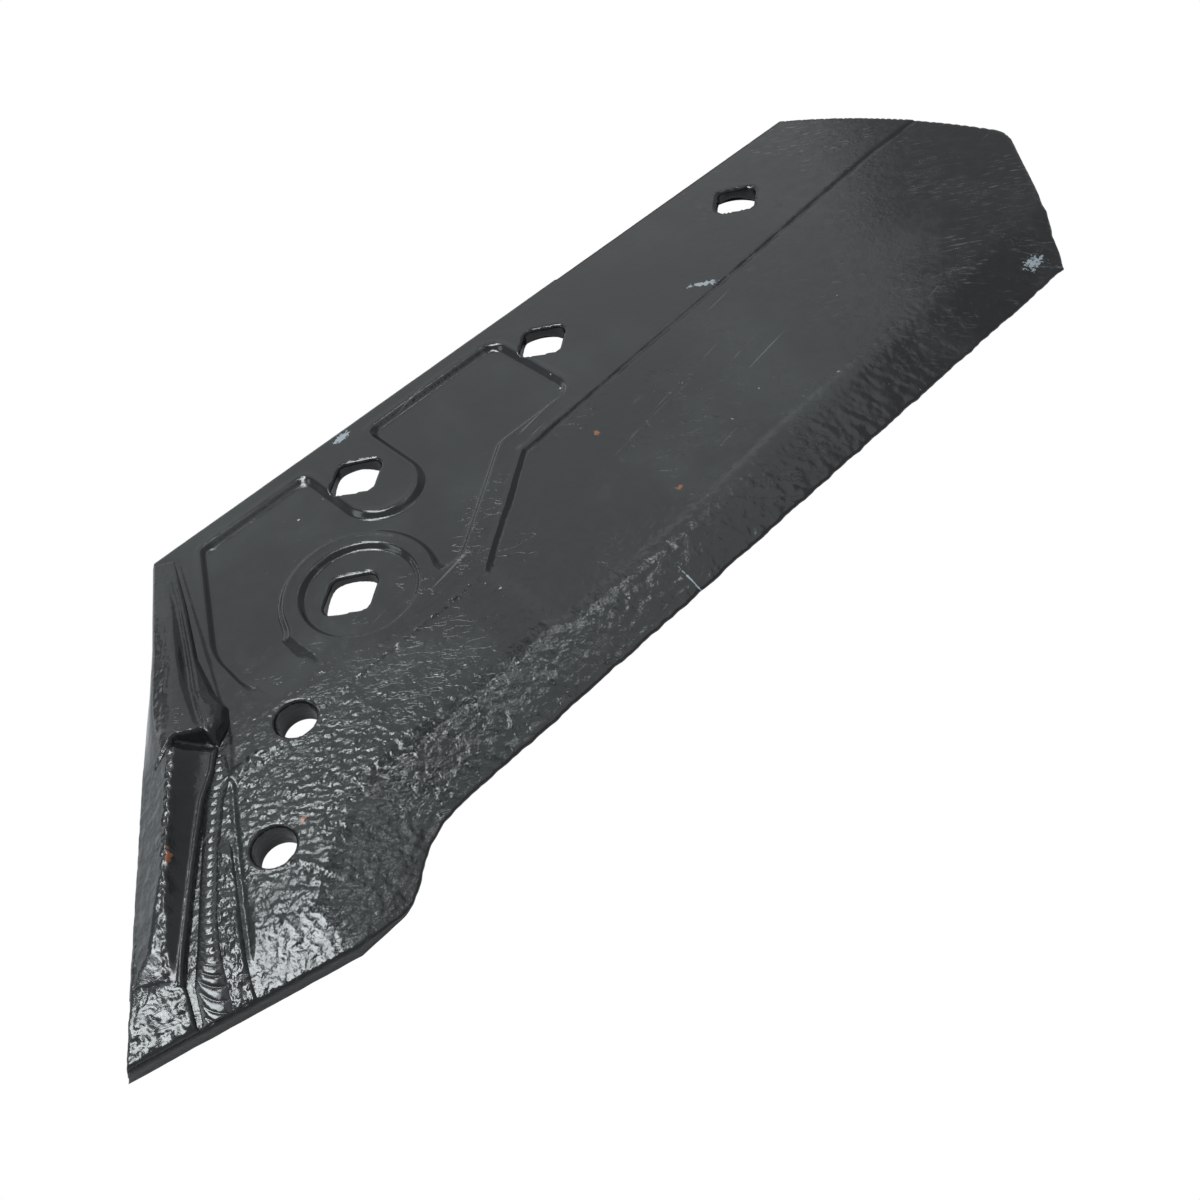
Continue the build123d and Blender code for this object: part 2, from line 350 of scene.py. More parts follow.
def slope_heights(x, y):
    """Heights of the sharpened slope, the beak's slope and the leaning landside face."""
    heel_length = hypot(heel_start[0] - notch[0], heel_start[1] - notch[1])
    heel_way = ((heel_start[0] - notch[0]) / heel_length, (heel_start[1] - notch[1]) / heel_length)
    from_edge = y - notch[1]
    from_heel = (x - notch[0]) * heel_way[1] - (y - notch[1]) * heel_way[0]
    cutting = edge_thickness + edge_slope * smooth_max(from_edge, from_heel, 4.0)
    beak_length = hypot(tip[0] - heel_end[0], tip[1] - heel_end[1])
    beak_way = ((tip[0] - heel_end[0]) / beak_length, (tip[1] - heel_end[1]) / beak_length)
    from_beak = (x - tip[0]) * beak_way[1] - (y - tip[1]) * beak_way[0]
    beak = beak_edge_height + beak_slope * from_beak
    along, inset = on_landside(x, y)
    lean = 0.3 + inset * plate_thickness / lean_at(along)
    return cutting, beak, lean


def hammer_depth(x, y):
    """How rough the forged skin is: smooth on the seat, coarse towards the beak and the edges."""
    lower = step(-60, -135, y)
    near_beak = step(180, -20, x) * step(-70, -112, y)
    near_edge = step(-122, -140, y)
    return 0.012 + 0.03 * lower + 0.12 * near_beak + 0.05 * near_edge


def hammer(x, y):
    """Forged, orange-peel skin in mm, before its depth is set."""
    u = x * 0.8 + y * 0.6
    v = y * 0.8 - x * 0.6
    lumps = 0.7 * noise(u, v * 1.25, 2.6, 11) + 0.8 * abs(noise(u, v, 2.0, 12))
    return lumps + 0.4 * noise(u, v, 1.3, 14) + 0.5 * noise(x, y, 6.0, 13)


def landside_chain(*places):
    """Chain of plan points from places given along and in from the landside edge."""
    return [on_plan(along, inset) for along, inset in places]


groove = landside_chain((96.0, 30.3), (107.0, 30.8), (134.0, 33.1), (155.0, 35.2), (172.0, 38.2))
scar = landside_chain((96.0, 30.3), (93.0, 34.2), (90.0, 38.1), (88.0, 42.4), (87.0, 44.8))
lower_scar = landside_chain((127.0, 46.6), (130.0, 52.0), (135.0, 59.0), (140.0, 63.3))
hook_seam = [(-33.0, -150.0), (-38.0, -152.5), (-41.0, -155.5), (-40.0, -158.5), (-36.5, -160.0)]
lower_region = [*seat_line, *groove, (-60.0, -260.0), (470.0, -260.0)]


def with_seat(height, x, y):
    """Height with the step below the seat: shallow at the tail, a clear wall at the bend."""
    below = depth_in(x, y, lower_region)
    past_foot = step(74, 66, x)
    at_bend = step(190, 125, x)
    drop = (0.35 + 1.05 * at_bend) * (1 - 0.9 * past_foot)
    wall_width = 0.7 + 0.8 * at_bend
    height = height - drop * step(-0.3, 1.0, below / wall_width)
    line_depth = (0.55 + 0.3 * noise(x, y, 9.0, 21)) * (1 - past_foot) * step(372, 355, x)
    height = height - line_depth * bump(below - 0.2, 0.6)
    height = height + 0.25 * (1 - past_foot) * step(170, 120, x) * bump(below + 1.0, 0.9)
    # Past its foot the line goes on as a thin row of raised dots.
    dotted = np.clip(0.5 + 1.2 * noise(x, y, 2.6, 22), 0, 1)
    return height + 0.3 * past_foot * step(8, 20, x) * dotted * bump(below, 0.6)


def with_pocket(height, x, y):
    """Height with the pocket sunk in, and the pad and the ring left standing."""
    from_pad = np.hypot(x - pad_middle_x, pad_end_y - y) - pad_radius
    from_pad = np.where(y > pad_end_y, abs(x - pad_middle_x) - pad_radius, from_pad)
    from_ring = np.hypot(x - ring_middle[0], y - ring_middle[1]) - ring_radius
    # The back stands below the left half of the ring too; right of its middle this plays no part.
    flank_blend = 8.0
    flank_x = ring_middle[0] - ring_radius - x
    flank_y = y - ring_middle[1]
    from_flank = np.where((flank_x < 0) & (x < ring_middle[0]), flank_y, np.maximum(flank_x, flank_y))
    from_flank = np.where(x > ring_middle[0], flank_blend + 1, from_flank)
    in_pocket = smooth_min(depth_in(x, y, pocket), smooth_min(from_pad, from_ring, 3.0), 5.0)
    in_pocket = smooth_min(in_pocket, from_flank, flank_blend)
    # The wall is steep along the left side, fades out at the lower left, and is a ramp elsewhere.
    wall_x, wall_y = zip(*pocket_left_wall)
    from_left = x - np.interp(y, wall_y, wall_x)
    faint = step(-66, -80, y) * step(16, 4, x)
    ramp_width = 2.0 - 1.0 * step(5, 2, from_left) * (1 - faint) + 4.0 * faint
    height = height - pocket_depth * (1 - 0.6 * faint) * step(-0.3, 1.0, in_pocket / ramp_width)
    return height + 0.2 * (1 - faint) * bump(in_pocket + 1.0, 1.0)


def with_bed(height, x, y):
    """Height with the shallow bed that the bar and its welds stand in."""
    along, inset = on_landside(x, y)
    bed_edge = np.interp(along, (-1, 81, 96, 170), (11.0, 30.0, 30.4, 37.0))
    return height - 0.35 * step(0.5, -0.5, inset - bed_edge) * step(-1, 6, along)


def with_spot_face(height, x, y):
    """Height with the spot face, as deep as the pocket, inside the ring."""
    from_rim = spot_face_radius - np.hypot(x - ring_middle[0], y - ring_middle[1])
    return height - pocket_depth * step(-0.4, 1.6, from_rim)


def with_weld_marks(height, x, y):
    """Height with the groove beside the lumpy weld run, two raised scars and a hooked seam."""
    along = on_landside(x, y)[0]
    from_groove = distance_to(x, y, groove)[0]
    groove_size = 0.3 + 1.3 * step(125, 172, along)
    height = height - groove_size * step(94, 100, along) * bump(from_groove, 0.5 + 0.7 * groove_size)
    for line, rise, width in ((scar, 1.4, 1.9), (lower_scar, 0.6, 0.9)):
        off = distance_to(x, y, line)[0]
        height = height + rise * bump(off, width) * (0.6 + 0.6 * noise(x, y, 2.4, 31))
    return height - 0.4 * bump(distance_to(x, y, hook_seam)[0], 0.45)


def formed_height(x, y):
    """Height of the back with its seat, pocket and slopes, before the skin's roughness."""
    height = np.full(np.shape(x), plate_thickness)
    for shape in (with_seat, with_pocket, with_bed, with_spot_face, with_weld_marks):
        height = shape(height, x, y)
    cutting, beak, lean = slope_heights(x, y)
    height = smooth_min(height, cutting, 1.6)
    height = smooth_min(height, beak, 1.0)
    return smooth_min(height, lean, 0.8)


def edge_rounding(distance, radius):
    """How far a rounded rim of that radius drops, at a distance from its wall."""
    reach = np.clip(1 - distance / radius, 0, 1)
    return radius * (1 - np.sqrt(np.clip(1 - reach**2, 0, 1)))


thinnest_edge = 0.25
highest_scar = 1.0


def back_height(x, y):
    """Height of the blade's back above the working face."""
    height = formed_height(x, y)
    to_hole = hole_distance(x, y, plate_thickness)
    to_edge = distance_to(x, y, outline + outline[:1])[0]
    fading = step(0, 2.0, to_hole)
    skin = (hammer(x, y) - 0.5) * hammer_depth(x, y)
    skin = skin + 0.05 * noise(x, y, 30.0, 17) + 0.35 * noise(x, y, 90.0, 18) * step(0, 40, to_edge)
    # Runs and ripples of forging scale down the sharpened slope.
    on_slope = step(-128, -138, y) * step(0, 30, x)
    skin = skin + on_slope * 0.22 * abs(noise(x + 0.4 * y, y * 0.55, 5.0, 19))
    height = height + skin * fading
    thickness = np.clip(height, 0.5, plate_thickness)
    height = height - edge_rounding(to_edge, 0.12 * thickness)
    height = height - edge_rounding(to_hole, 0.9)
    return np.clip(height, thinnest_edge, plate_thickness + highest_scar)


def worked_face_height(x, y):
    """Height of the hidden working face: flat, with rounded rims and a little wear."""
    to_edge = distance_to(x, y, outline + outline[:1])[0]
    wear = 0.06 * (1 + noise(x, y, 14.0, 41)) + 0.03 * (1 + noise(x, y, 3.0, 42))
    to_hole = hole_distance(x, y, 0.0)
    height = wear * step(0, 3, to_hole) * step(0, 3, to_edge)
    return height + edge_rounding(to_edge, 0.2) + edge_rounding(to_hole, 0.3)


def worn_outline(x, y):
    """How the real edges wander in from the straight outline: most along the cutting edge."""
    distance, side_x, side_y = distance_to(x, y, outline + outline[:1])
    on_cutting_edge = step(-118, -128, y) * step(-30, -18, x)
    on_beak = step(-100, -120, y) * step(-20, -40, x)
    wander = 0.12 + 0.75 * on_cutting_edge + 0.1 * on_beak
    move = wander * (0.55 + 0.45 * noise(x, y, 9.0, 51) + 0.3 * noise(x, y, 3.2, 52))
    move = np.clip(move, 0, 2) * step(7, 0, distance)
    return x - side_x * move, y - side_y * move


# ---------------------------------------------------------------- mesh making


def to_frame(x, y, z):
    """Row-frame vertex positions, in metres, from plan positions and heights in mm."""
    return np.stack([(x + plan_origin[0]) * mm, (y + plan_origin[1]) * mm, z * mm], axis=1)


def make_object(name, vertices, faces, weld):
    """Smooth-shaded mesh object, with points closer together than weld, in metres, merged."""
    mesh = bpy.data.meshes.new(name)
    mesh.from_pydata(vertices.tolist(), [], faces)
    obj = bpy.data.objects.new(name, mesh)
    bpy.context.scene.collection.objects.link(obj)
    work = bmesh.new()
    work.from_mesh(mesh)
    bmesh.ops.remove_doubles(work, verts=work.verts, dist=weld)
    bmesh.ops.recalc_face_normals(work, faces=work.faces)
    work.to_mesh(mesh)
    work.free()
    mesh.polygons.foreach_set("use_smooth", [True] * len(mesh.polygons))
    return obj


def filled(loops, x, y):
    """Triangles over the first loop, less the others, through the extra points given."""
    points = [point for loop in loops for point in loop]
    runs = []
    first = 0
    for loop in loops:
        count = len(loop)
        runs += [(first + i, first + (i + 1) % count) for i in range(count)]
        first += count
    points += list(zip(x.tolist(), y.tolist()))
    same_place = 1e-5
    result = delaunay_2d_cdt([Vector(p) for p in points], runs, [], 0, same_place)
    corners = np.array(result[0], float)
    faces = np.array(result[2], np.int64)
    middle = corners[faces].mean(axis=1)
    keep = inside(middle[:, 0], middle[:, 1], loops[0])
    for loop in loops[1:]:
        keep &= ~inside(middle[:, 0], middle[:, 1], loop)
    return corners, faces[keep]


span_x = (-105, 372)
span_y = (-166, 1)


def lattice(spacing):
    """Square lattice over the whole blade: plan positions, then column and row numbers."""
    columns = np.arange(*span_x, spacing)
    rows = np.arange(*span_y, spacing)
    x, y = np.meshgrid(columns, rows)
    i, j = np.meshgrid(np.arange(len(columns)), np.arange(len(rows)))
    return x.ravel(), y.ravel(), i.ravel(), j.ravel()


def back_points():
    """Points over the back: close together at the steps and on the beak, wider apart elsewhere."""
    spacing = 0.56
    x, y, i, j = lattice(spacing)
    near = inside(x, y, outline)
    x, y, i, j = x[near], y[near], i[near], j[near]
    height = formed_height(x, y)
    bend_x = abs(formed_height(x + spacing, y) + formed_height(x - spacing, y) - 2 * height)
    bend_y = abs(formed_height(x, y + spacing) + formed_height(x, y - spacing) - 2 * height)
    along, inset = on_landside(x, y)
    close = (bend_x + bend_y > 0.05) | (x < 12) & (y < -84) | (along > 60) & (inset < 30)
    middling = (x < 190) | (y < -125)
    coarse = (i % 2 == 0) & (j % 2 == 0)
    diagonal = (i % 2 == 1) & (j % 2 == 1)
    keep = close | coarse | diagonal & middling
    x, y = x[keep], y[keep]
    rim_gap = 0.35
    clear = distance_to(x, y, outline + outline[:1])[0] > rim_gap
    clear &= hole_distance(x, y, plate_thickness) > rim_gap
    return x[clear], y[clear]


def wall(loop_at, heights_at, rows):
    """Quads between rings of plan points; loop_at gives a ring for each share of the way down."""
    rings = []
    for row in range(rows + 1):
        share = row / rows
        ring = np.array(loop_at(share))
        rings.append(np.column_stack([ring, heights_at(share)]))
    count = len(rings[0])
    vertices = np.concatenate(rings)
    faces = []
    for row in range(rows):
        for i in range(count):
            j = (i + 1) % count
            faces.append((row * count + i, row * count + j, (row + 1) * count + j, (row + 1) * count + i))
    return vertices, faces


def make_blade():
    """The forged blade: its back, its working face, its rim and the walls of its holes."""
    vertices = []
    faces = []

    def add_part(points, part_faces):
        first = sum(len(group) for group in vertices)
        vertices.append(points)
        faces.extend(tuple(int(index) + first for index in face) for face in part_faces)

    rim = subdivided(outline, 0.8)
    top_rings = [hole_loop(hole, plate_thickness) for hole in holes]
    bottom_rings = [hole_loop(hole, 0.0) for hole in holes]

    x, y = back_points()
    corners, triangles = filled([rim, *top_rings], x, y)
    top_height = back_height(corners[:, 0], corners[:, 1])
    add_part(np.column_stack([corners, top_height]), triangles)

    x, y = lattice(2.4)[:2]
    far = inside(x, y, outline) & (hole_distance(x, y, 0.0) > 1)
    far &= distance_to(x, y, outline + outline[:1])[0] > 1
    corners, triangles = filled([rim, *bottom_rings], x[far], y[far])
    low_height = worked_face_height(corners[:, 0], corners[:, 1])
    add_part(np.column_stack([corners, low_height]), triangles)

    edge = np.array(rim)
    high = back_height(edge[:, 0], edge[:, 1])
    low = worked_face_height(edge[:, 0], edge[:, 1])
    add_part(*wall(lambda share: rim, lambda share: high + (low - high) * share, 6))

    for hole, top_ring, bottom_ring in zip(holes, top_rings, bottom_rings):
        mouth = np.array(top_ring)
        foot = np.array(bottom_ring)
        high = back_height(mouth[:, 0], mouth[:, 1])
        low = worked_face_height(foot[:, 0], foot[:, 1])

        def ring_at(share, hole=hole):
            return hole_loop(hole, plate_thickness * (1 - share))

        add_part(*wall(ring_at, lambda share: high + (low - high) * share, 16))

    points = np.concatenate(vertices)
    x, y = worn_outline(points[:, 0], points[:, 1])
    return make_object("forged_blade", to_frame(x, y, points[:, 2]), faces, weld=2e-6)


def closed_strip(name, alongs, insets, top, bottom):
    """Closed piece over a grid of places along and in from the landside edge."""
    x, y = on_plan(alongs, insets)
    rows, columns = x.shape
    count = rows * columns
    flat_x = np.concatenate([x.ravel(), x.ravel()])
    flat_y = np.concatenate([y.ravel(), y.ravel()])
    heights = np.concatenate([top.ravel(), bottom.ravel()])
    faces = []
    for r in range(rows - 1):
        for c in range(columns - 1):
            a = r * columns + c
            faces.append((a, a + columns, a + columns + 1, a + 1))
            faces.append((count + a, count + a + 1, count + a + columns + 1, count + a + columns))
    border = list(range(columns))
    border += [r * columns + columns - 1 for r in range(1, rows)]
    border += [(rows - 1) * columns + c for c in range(columns - 2, -1, -1)]
    border += [r * columns for r in range(rows - 2, 0, -1)]
    for a, b in zip(border, border[1:] + border[:1]):
        faces.append((a, b, count + b, count + a))
    return make_object(name, to_frame(flat_x, flat_y, heights), faces, weld=1e-7)


def strip_grid(start, end, low_inset, high_inset, rows, columns):
    """Grid along the landside, between two insets that vary along it."""
    along = np.linspace(start, end, rows)[:, None]
    share = np.linspace(0, 1, columns)[None, :]
    low = low_inset(along)
    high = high_inset(along)
    return along + 0 * share, low + (high - low) * share


def beak_edge_along(inset):
    """How far along the landside edge the beak's lower edge lies, at an inset."""
    heel_along, heel_inset = on_landside(*heel_end)
    return landside_length + (heel_along - landside_length) * inset / heel_inset


def to_beak_edge(start, along, inset, gap):
    """The same grid, stretched so that its far end follows the beak's lower edge."""
    share = (along - start) / (along.max() - start)
    return start + share * (beak_edge_along(inset) - gap - start)


# ---------------------------------------------------------------- landside bar


def head_foot(along):
    """How far in the foot of the bar's head reaches."""
    places = (2, 22, 47, 63, 70, 76, 84)
    return np.interp(along, places, (9.5, 14.0, 18.5, 24.5, 28.8, 29.4, 25.5))


def ridge_foot(along):
    """How far in the foot of the bar's ridge reaches."""
    places = (80, 92, 102, 115, 128, 149, 158)
    return np.interp(along, places, (26.0, 25.2, 22.4, 21.0, 19.8, 18.2, 17.6))


def head_height(along, inset):
    """Height over the plate's back of the bar's head, a smooth swelling that ends in a blunt shoulder."""
    growth = np.clip(along / 81.0, 0, 1)
    from_lean = inset - lean_at(along)
    from_foot = head_foot(along) - inset

    # A steep outer face, then a broad face that rises gently to the crest.
    outer = 0.2 + from_lean * np.interp(along, (50, 92), (2.4, 0.8))
    top = 0.4 + growth * (3.6 + 0.42 * from_lean)
    top = smooth_min(top, 0.5 + 7.3 * growth - 0.16 * growth * (inset - 13), 1.5)
    side = 0.7 + from_foot * (1.2 + 0.8 * growth)
    lip_height = np.interp(along, (6, 45, 70, 80), (0.6, 1.2, 1.9, 3.2))
    top = smooth_min(top, lip_height + np.maximum(from_foot, 0) * 0.65, 1.0)
    head = smooth_min(smooth_min(outer, top, 2.0), side, 0.6)

    # A valley with a crease runs down the broad face.
    valley = np.interp(along, (6, 22, 45, 62, 80), (8.0, 11.5, 15.0, 18.0, 23.0))
    valley_depth = np.interp(along, (6, 18, 50, 76, 80), (0.0, 0.9, 1.8, 1.0, 0.3))
    head = head - valley_depth * bump(inset - valley, 1.3)
    crease = valley + np.interp(along, (6, 40, 80), (1.2, 2.0, 2.4))
    head = head - 0.35 * valley_depth * bump(inset - crease, 0.35)
    head = head + 0.3 * growth * noise(along, inset * 2.2, 18.0, 61)
    head = head + 0.06 * noise(along, inset * 5, 6.0, 62)

    # The blunt, uneven shoulder.
    mouth_places = (7, 12, 14.6, 18.0, 22.6, 26.6, 29)
    mouth = np.interp(inset, mouth_places, (95.0, 88.0, 82.5, 81.0, 80.2, 83.0, 84.0))
    mouth = mouth + 0.5 * noise(inset, along * 0.3, 2.5, 63)
    bluntness = np.interp(inset, (8.0, 13.5), (0.35, 3.5))
    return smooth_min(head, (mouth - along) * bluntness + 2.0, 0.8)


def ridge_height(along, inset):
    """Height over the plate's back of the bar's ridge: narrow, rough on top, hollow on its inner face."""
    crest = np.interp(along, (76, 85, 136, 156), (14.6, 15.4, 14.6, 14.8))
    crest_height = np.interp(along, (76, 90, 130, 148, 157), (6.5, 7.7, 7.2, 4.6, 0.6))
    crest = crest + 0.45 * noise(along, 0 * inset, 5.0, 64)
    cut = rough(along, inset, 2.6, 65) * 0.55
    foot = ridge_foot(along)
    reach = np.clip((foot - inset) / (foot - crest), 0, 2)
    inner = 1.1 + (crest_height - 1.1) * reach**1.7
    lip = 0.8 * bump(inset - (foot - 0.7), 0.55) * step(78, 92, along)
    flank = 0.2 + (inset - lean_at(along)) * 0.78 + 0.25 * rough(along, inset * 1.5, 5.0, 67)
    ridge = smooth_min(flank, crest_height + cut * step(1.8, 0.2, abs(inset - crest + 0.8)), 0.7)
    ridge = smooth_min(ridge, inner, 0.6) + lip
    ridge = smooth_min(ridge, 1.8 + (foot - inset) * 5, 0.4)
    # Inside the head the ridge is sunk out of sight.
    return ridge - 9.0 * step(86, 74, along)


def bar_height_at(along, inset):
    """Height of the landside bar over the plate's back: its head, then its ridge."""
    bar = smooth_max(head_height(along, inset), ridge_height(along, inset), 0.6)
    bar = bar + 0.05 * rough(along, inset, 2.0, 66)
    return np.minimum(bar, bar_height)


def make_bar():
    """The landside bar, from just below the landside corner to the middle of the beak."""

    def inner(a):
        return lean_at(a) - 1.0

    def outer(a):
        return np.maximum(head_foot(a), ridge_foot(a) * (a > 80)) + 0.5

    along, inset = strip_grid(0.5, 158.0, inner, outer, 420, 64)
    x, y = on_plan(along, inset)
    back = back_height(x.ravel(), y.ravel()).reshape(x.shape)
    top = plate_thickness + bar_height_at(along, inset)
    top = np.maximum(top, back - 0.35)
    bottom = np.minimum(top, back) - root_depth
    return closed_strip("landside_bar_forged", along, inset, top, bottom)


# ---------------------------------------------------------------- weld runs and tip facing


def bead_inner(along):
    """How far in the rippled bead starts."""
    places = (84, 93, 102, 115, 128, 149, 159, 172)
    return np.interp(along, places, (24.6, 23.2, 22.2, 21.7, 21.2, 20.8, 20.2, 21.6))


def bead_outer(along):
    """How far in the rippled bead ends."""
    places = (84, 95, 103, 117, 142, 151, 162, 172)
    return np.interp(along, places, (28.0, 29.9, 28.0, 26.9, 26.9, 27.8, 29.2, 29.8))


def make_bead():
    """The weld bead at the bar's inner foot, rippled along its length."""

    def inner(a):
        return bead_inner(a) - 0.4

    def outer(a):
        return bead_outer(a) + 0.4

    along, inset = strip_grid(84.0, 170.0, inner, outer, 460, 40)
    along = to_beak_edge(84.0, along, inset, 0.9)
    middle = (bead_inner(along) + bead_outer(along)) / 2
    half = (bead_outer(along) - bead_inner(along)) / 2
    across = (inset - middle) / half
    crown = np.clip(1 - abs(across) ** 3, 0, 1) - 0.35 * (abs(across) > 1)
    # Each ripple is a crescent; towards the beak's edge they turn and run at a slant.
    slant = np.interp(along, (140, 160), (0.0, 2.0))
    phase = along + 1.7 * across**2 - slant * across + 0.5 * noise(along, inset, 9.0, 71)
    pitch = 2.9
    saw = np.mod(phase / pitch + 0.25 * noise(along, 0 * inset, 6.0, 72), 1.0)
    ripple = np.sqrt(np.clip(1 - (2 * saw - 1) ** 2, 0, 1))
    size = 0.75 + 0.4 * noise(along, 0 * inset, 7.0, 73)
    x, y = on_plan(along, inset)
    back = formed_height(x, y)
    rise = 0.9 * crown * step(83, 90, along) + 0.6 * size * (ripple - 0.6) * np.clip(crown, 0, 1)
    rise = rise + 0.03 * rough(along, inset, 1.6, 74)
    top = back + rise
    bottom = np.minimum(top, back) - root_depth
    return closed_strip("rippled_weld_bead", along, inset, top, bottom)


def make_point_weld():
    """The lumpy weld run between the bead and the groove."""

    def inner(a):
        return bead_outer(a) - 0.4

    def outer(a):
        return np.interp(a, (112, 120, 134, 155, 172), (28.6, 30.6, 32.2, 34.4, 37.0))

    along, inset = strip_grid(113.0, 168.0, inner, outer, 260, 40)
    along = to_beak_edge(113.0, along, inset, 1.0)
    across = (inset - inner(along)) / (outer(along) - inner(along))
    x, y = on_plan(along, inset)
    back = back_height(x.ravel(), y.ravel()).reshape(x.shape)
    lumps = 0.5 + 0.5 * rough(along, inset, 3.6, 81, 4)
    crown = step(1.05, 0.8, across) * step(112, 122, along)
    rise = crown * (0.35 + 0.6 * lumps) - 0.3 * (1 - crown)
    top = back + rise
    bottom = np.minimum(top, back) - root_depth
    return closed_strip("lumpy_weld_run", along, inset, top, bottom)


def make_facing():
    """The wear layer on the tip, with a rounded rim along the crack behind it."""
    upper_crack = ((138.0, 2.0), (144.0, 10.4), (148.0, 13.0), (151.0, 15.3))
    lower_crack = ((156.0, 17.8), (162.0, 19.1), (168.0, 20.0))
    crack = landside_chain(*upper_crack, *lower_crack)
    foot = (beak_edge_along(20.3) - 0.7, 20.3)
    corner = (beak_edge_along(0.6) - 0.7, 0.6)
    border = [on_plan(136.0, 0.5), *crack, on_plan(*foot), on_plan(*corner)]
    loop = subdivided(rounded(border, {2: 3.0, 3: 3.0, 5: 3.0}), 0.5)
    x, y = lattice(0.5)[:2]
    keep = inside(x, y, border)
    x, y = x[keep], y[keep]
    keep = distance_to(x, y, border + border[:1])[0] > 0.3
    corners, triangles = filled([loop], x[keep], y[keep])
    x, y = corners[:, 0], corners[:, 1]
    back = back_height(x, y)
    to_crack = distance_to(x, y, crack)[0]
    to_rim = distance_to(x, y, loop + loop[:1])[0]
    along = on_landside(x, y)[0]
    lumps = 0.3 * noise(x, y, 4.4, 91) + 0.3 * abs(noise(x, y, 2.1, 92)) + 0.12 * noise(x, y, 1.2, 93)
    layer = step(136, 146, along) + 0.1
    rise = layer + lumps * step(0, 1.5, to_rim)
    rise = rise - edge_rounding(to_crack, 0.9) - edge_rounding(to_rim, 0.5)
    top = np.column_stack([corners, back + rise])
    bottom = np.column_stack([corners, np.minimum(back, back + rise) - root_depth])
    count = len(corners)
    faces = [tuple(face) for face in triangles.tolist()]
    faces += [(c + count, b + count, a + count) for a, b, c in triangles.tolist()]
    rim_count = len(loop)
    faces += [(i, (i + 1) % rim_count, (i + 1) % rim_count + count, i + count) for i in range(rim_count)]
    points = np.concatenate([top, bottom])
    places = to_frame(points[:, 0], points[:, 1], points[:, 2])
    return make_object("tip_facing_layer", places, faces, weld=1e-7)


# ---------------------------------------------------------------- materials


class Nodes:
    """Small helper that adds and links shader nodes."""

    def __init__(self, name):
        self.material = bpy.data.materials.new(name)
        self.material.use_nodes = True
        self.tree = self.material.node_tree
        self.shader = self.tree.nodes["Principled BSDF"]
        self.place = self.add("ShaderNodeTexCoord").outputs["Object"]
        self.axes = self.add("ShaderNodeSeparateXYZ")
        self.link(self.place, self.axes.inputs[0])

    def add(self, kind, **settings):
        """A new node with its settings."""
        node = self.tree.nodes.new(kind)
        for key, value in settings.items():
            setattr(node, key, value)
        return node

    def link(self, source, target):
        self.tree.links.new(source, target)

    def put(self, socket, value):
        """Feeds a socket from another one, or sets it to a constant."""
        if hasattr(value, "links"):
            self.link(value, socket)
        else:
            socket.default_value = value

    def mapped(self, sizes, turn=0.0):
        """Coordinates that count in lengths of sizes mm, along axes turned by turn degrees."""
        node = self.add("ShaderNodeMapping", vector_type="TEXTURE")
        node.inputs["Scale"].default_value = [size * mm for size in sizes]
        node.inputs["Rotation"].default_value = (0, 0, radians(turn))
        self.link(self.place, node.inputs["Vector"])
        return node.outputs["Vector"]

    def cloud(self, scale, detail=3.0, vector=None):
        """Soft noise, with scale lumps to the metre or, with mapped coordinates, to their unit."""
        node = self.add("ShaderNodeTexNoise")
        node.inputs["Scale"].default_value = scale
        node.inputs["Detail"].default_value = detail
        node.inputs["Roughness"].default_value = 0.55
        self.link(vector or self.place, node.inputs["Vector"])
        return node.outputs["Fac"]

    def math(self, operation, a, b=0.0):
        node = self.add("ShaderNodeMath", operation=operation)
        self.put(node.inputs[0], a)
        self.put(node.inputs[1], b)
        return node.outputs[0]

    def times(self, a, b):
        return self.math("MULTIPLY", a, b)

    def window(self, value, low, high, out_low=0.0, out_high=1.0):
        """Smooth change from out_low where value is low to out_high where it is high."""
        node = self.add("ShaderNodeMapRange", interpolation_type="SMOOTHSTEP")
        self.put(node.inputs["Value"], value)
        limits = {"From Min": low, "From Max": high, "To Min": out_low, "To Max": out_high}
        for key, number in limits.items():
            node.inputs[key].default_value = number
        return node.outputs["Result"]

    def between_x(self, start, end):
        """Smooth change from 0 at one plan x, in mm, to 1 at another."""
        origin = plan_origin[0]
        return self.window(self.axes.outputs[0], (start + origin) * mm, (end + origin) * mm)

    def between_y(self, start, end):
        """Smooth change from 0 at one plan y, in mm, to 1 at another."""
        origin = plan_origin[1]
        return self.window(self.axes.outputs[1], (start + origin) * mm, (end + origin) * mm)

    def mix(self, share, a, b):
        """Colour a, turning into colour b as share goes from 0 to 1."""
        node = self.add("ShaderNodeMix", data_type="RGBA")
        self.put(node.inputs["Factor"], share)
        self.put(node.inputs[6], a)
        self.put(node.inputs[7], b)
        return node.outputs[2]

    def mark(self, x, y, length, width, turn):
        """Ragged oval patch, 1 inside it, at a plan position in mm."""
        local = self.add("ShaderNodeMapping", vector_type="TEXTURE")
        local.inputs["Location"].default_value = ((x + plan_origin[0]) * mm, (y + plan_origin[1]) * mm, 0)
        local.inputs["Rotation"].default_value = (0, 0, radians(turn))
        local.inputs["Scale"].default_value = (length / 2 * mm, width / 2 * mm, 1)
        self.link(self.place, local.inputs["Vector"])
        reach = self.add("ShaderNodeVectorMath", operation="LENGTH")
        self.link(local.outputs["Vector"], reach.inputs[0])
        # The cloud is about 0.5, so the patch ends about two thirds of the way out, give or take.
        ragged = self.times(self.cloud(750.0, 4.0), 3.0)
        return self.window(self.math("ADD", reach.outputs["Value"], ragged), 2.3, 2.0)


